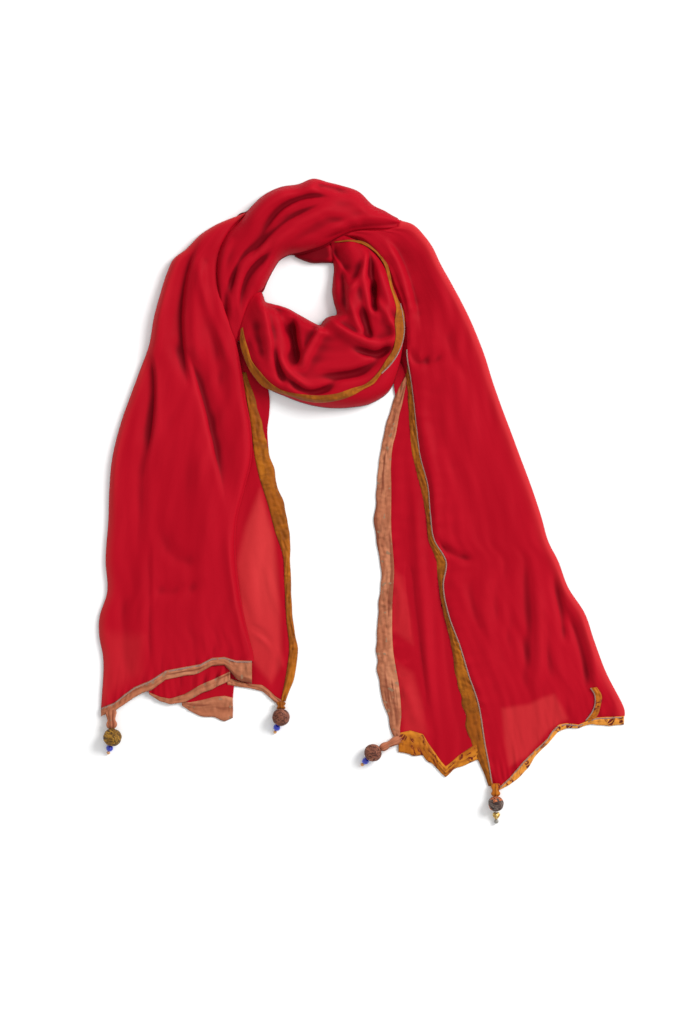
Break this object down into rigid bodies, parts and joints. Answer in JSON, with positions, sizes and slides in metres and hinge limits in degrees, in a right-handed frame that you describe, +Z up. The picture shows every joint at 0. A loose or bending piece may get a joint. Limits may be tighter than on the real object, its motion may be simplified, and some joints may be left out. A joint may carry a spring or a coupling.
{
  "type": "silk scarf",
  "caption": "Long silk scarf laid flat with one loop at the neck, contrast bands along its edges and a bead drop on each corner.",
  "frame": {"origin": "on the table, under the middle of the scarf's outline", "axes": "+Y from the hems towards the neck loop, +X to the right seen from above, +Z up from the table"},
  "size_m": [0.5767, 0.7035, 0.0336],
  "materials": {
    "red_silk": "soft crinkled silk with a low sheen",
    "ochre_silk": "crinkled silk band",
    "peach_silk": "crinkled silk band",
    "printed_silk": "crinkled silk band with a dark leaf print",
    "olive_bead": "bead wound with cloth",
    "brown_bead": "bead wound with cloth",
    "dark_bead": "bead wound with cloth",
    "blue_glass": "glossy opaque glass",
    "pale_metal": "worn pale metal"
  },
  "bodies": {
    "root": {"neck_band": "red_silk", "neck_back": "red_silk", "cowl": "red_silk", "left_tail_front": "red_silk", "left_tail_core": "red_silk", "left_tail_fold_upper": "red_silk", "left_tail_fold_lower": "red_silk", "left_tail_side": "red_silk", "left_tail_inner": "red_silk", "right_tail_front": "red_silk", "right_tail_back": "red_silk", "band_ochre_loop": "ochre_silk", "band_ochre_left": "ochre_silk", "band_ochre_right": "ochre_silk", "band_peach_right": "peach_silk", "hem_peach_front": "peach_silk", "hem_peach_upper": "peach_silk", "hem_peach_lower": "peach_silk", "hem_peach_side": "peach_silk", "hem_print_back": "printed_silk", "hem_print_front": "printed_silk", "wrap_left": "peach_silk", "wrap_side": "ochre_silk", "wrap_back": "peach_silk", "wrap_front": "printed_silk", "bead_left": "olive_bead", "bead_side": "brown_bead", "bead_back": "brown_bead", "bead_front": "dark_bead", "drop_front": "pale_metal"}
  },
  "joints": []
}
